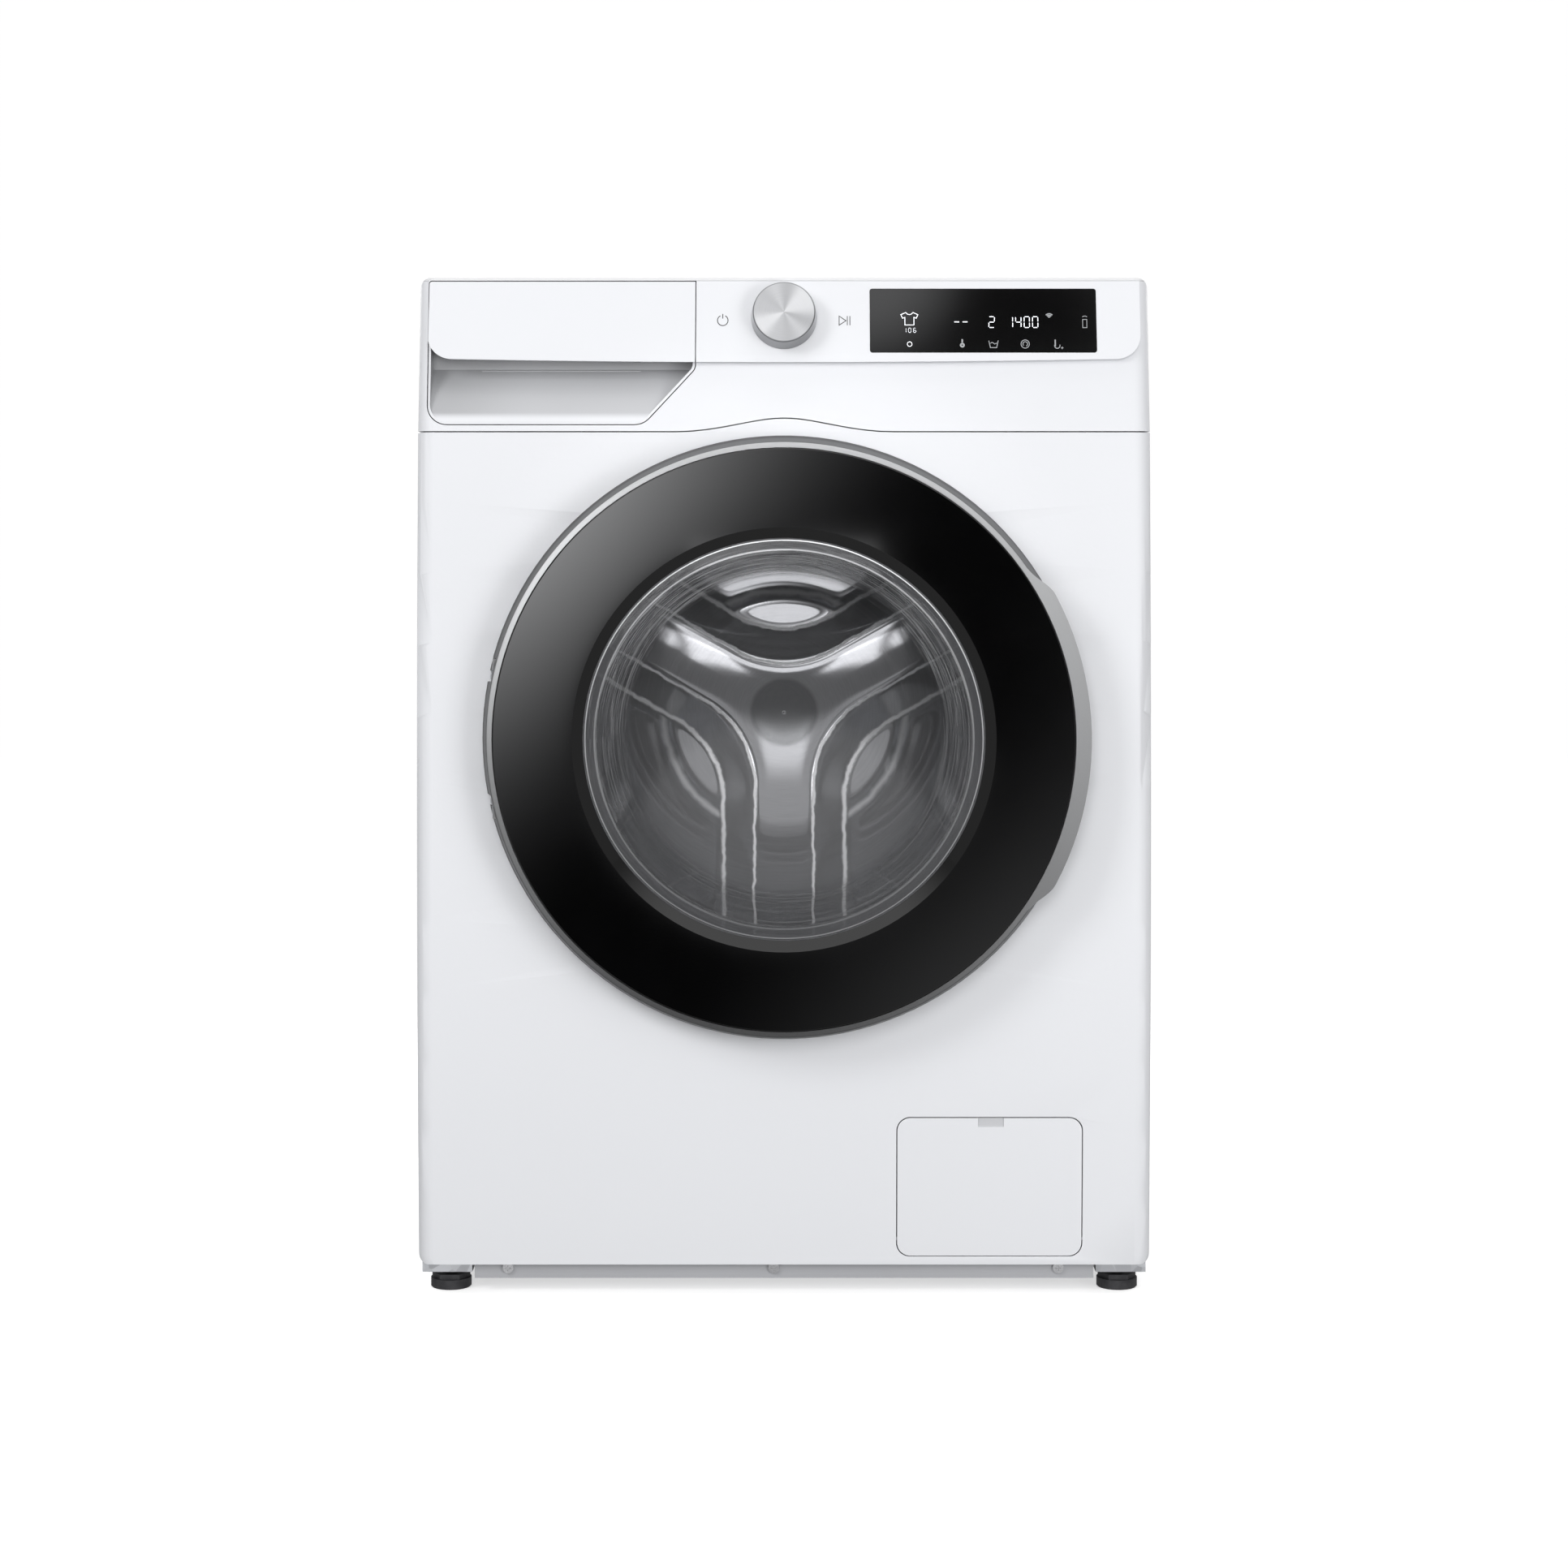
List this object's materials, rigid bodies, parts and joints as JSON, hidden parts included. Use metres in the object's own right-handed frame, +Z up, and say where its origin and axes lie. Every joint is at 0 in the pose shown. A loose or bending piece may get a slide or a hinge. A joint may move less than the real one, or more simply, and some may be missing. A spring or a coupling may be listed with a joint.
{
  "type": "front load washing machine",
  "caption": "White front load washing machine with a bowed front, round black-glass door with a side grip, pull-out detergent drawer, dial and dark display.",
  "frame": {"origin": "on the floor under the middle of the machine's overall box", "axes": "+Z up, the front with the door faces -Y, +X to the right as seen from the front"},
  "size_m": [0.6, 0.596, 0.832],
  "materials": {
    "white_paint": "gloss",
    "white_plastic": "gloss",
    "zinc_steel": "satin",
    "grey_plastic": "satin",
    "dark_plastic": "satin",
    "tub_plastic": "matte",
    "silver_trim": "satin metallic",
    "black_glass": "gloss",
    "clear_glass": "clear",
    "drum_steel": "polished",
    "screw_steel": "satin",
    "aluminium": "spun",
    "cast_weight": "rough",
    "grey_rubber": "matte",
    "foot_plastic": "matte"
  },
  "bodies": {
    "cabinet": {"base_frame": "zinc_steel", "left_side_panel": "white_paint", "right_side_panel": "white_paint", "crossbars": "zinc_steel", "rear_panel": "zinc_steel", "rear_cover": "zinc_steel", "transit_caps": "grey_plastic", "cable_gland": "dark_plastic", "front_rail": "zinc_steel", "case_screws": "screw_steel", "front_panel": "white_paint", "control_panel": "white_plastic", "display_window": "black_glass", "control_board": "dark_plastic", "top_cover": "white_plastic", "drawer_housing": "grey_plastic", "flap_frame": "white_plastic", "drain_pump": "grey_plastic", "inlet_valve": "grey_plastic", "inlet_hose": "grey_rubber", "drain_hose": "grey_rubber", "drain_spigot": "grey_plastic", "door_lock": "dark_plastic", "hinge_bracket": "zinc_steel", "door_gasket": "grey_rubber", "suspension_springs": "screw_steel", "dampers": "tub_plastic", "dispenser_hose": "grey_rubber", "sump_hose": "grey_rubber"},
    "tub": {"tub_front": "tub_plastic", "tub_rear": "tub_plastic", "tub_bolts": "screw_steel", "counterweights": "cast_weight", "heater": "screw_steel", "drum_bearings": "screw_steel", "motor": "zinc_steel", "drive_belt": "grey_rubber"},
    "drum": {"drum_shell": "drum_steel", "drum_back": "drum_steel", "drum_lifters": "grey_plastic", "drum_spider": "aluminium", "drum_pulley": "aluminium"},
    "motor_rotor": {"motor_pulley": "screw_steel"},
    "door": {"door_frame": "silver_trim", "door_glass": "black_glass", "door_bowl": "clear_glass", "door_inner_frame": "dark_plastic", "hinge_pin": "screw_steel"},
    "hook": {"door_hook": "grey_plastic"},
    "drawer": {"drawer_front": "white_plastic", "drawer_tray": "grey_plastic", "siphon_cap": "grey_plastic"},
    "knob": {"program_knob": "aluminium"},
    "flap": {"filter_flap": "white_plastic"},
    "filter": {"drain_filter": "dark_plastic"},
    "impeller": {"pump_impeller": "grey_plastic"},
    "foot_fl": {"foot_front_left": "foot_plastic"},
    "foot_rl": {"foot_rear_left": "foot_plastic"},
    "foot_fr": {"foot_front_right": "foot_plastic"},
    "foot_rr": {"foot_rear_right": "foot_plastic"}
  },
  "joints": [
    {"name": "tub_bounce", "type": "slide", "parent": "cabinet", "child": "tub", "axis": [0, 0, 1], "range_m": [-0.01, 0.01], "stiffness_N_per_m": 9000, "springref_m": 0.04866, "deforming": ["door_gasket", "suspension_springs", "dampers", "dispenser_hose", "sump_hose"]},
    {"name": "drum_spin", "type": "hinge", "parent": "tub", "child": "drum", "pos_m": [0, 0, 0.4565], "axis": [0, 1, 0], "continuous": true},
    {"name": "motor_spin", "type": "hinge", "parent": "tub", "child": "motor_rotor", "pos_m": [0.095, 0.2, 0.118], "axis": [0, 1, 0], "continuous": true},
    {"name": "door_swing", "type": "hinge", "parent": "cabinet", "child": "door", "pos_m": [-0.232, -0.285, 0.4565], "axis": [0, 0, -1], "range_deg": [0, 120]},
    {"name": "hook_pivot", "type": "hinge", "parent": "door", "child": "hook", "pos_m": [0.208, -0.274, 0.4565], "axis": [0, 0, -1], "range_deg": [0, 8], "stiffness_Nm_per_rad": 0.2},
    {"name": "drawer_slide", "type": "slide", "parent": "cabinet", "child": "drawer", "axis": [0, -1, 0], "range_m": [0, 0.2]},
    {"name": "knob_turn", "type": "hinge", "parent": "cabinet", "child": "knob", "pos_m": [0, -0.24024, 0.799], "axis": [0, -0.9731, 0.2303], "continuous": true},
    {"name": "flap_hinge", "type": "hinge", "parent": "cabinet", "child": "flap", "pos_m": [0.168, -0.24548, 0.045], "axis": [1, 0, 0], "range_deg": [0, 80]},
    {"name": "filter_turn", "type": "hinge", "parent": "cabinet", "child": "filter", "pos_m": [0.168, -0.2, 0.085], "axis": [0, -1, 0], "range_deg": [0, 90]},
    {"name": "impeller_spin", "type": "hinge", "parent": "cabinet", "child": "impeller", "pos_m": [0.168, -0.12, 0.085], "axis": [0, 1, 0], "continuous": true},
    {"name": "front_left_foot_screw", "type": "slide", "parent": "cabinet", "child": "foot_fl", "axis": [0, 0, -1], "range_m": [0, 0.015]},
    {"name": "rear_left_foot_screw", "type": "slide", "parent": "cabinet", "child": "foot_rl", "axis": [0, 0, -1], "range_m": [0, 0.015]},
    {"name": "front_right_foot_screw", "type": "slide", "parent": "cabinet", "child": "foot_fr", "axis": [0, 0, -1], "range_m": [0, 0.015]},
    {"name": "rear_right_foot_screw", "type": "slide", "parent": "cabinet", "child": "foot_rr", "axis": [0, 0, -1], "range_m": [0, 0.015]}
  ],
  "couplings": [
    {"joint": "motor_spin", "follows": "drum_spin", "ratio": 12.727}
  ]
}
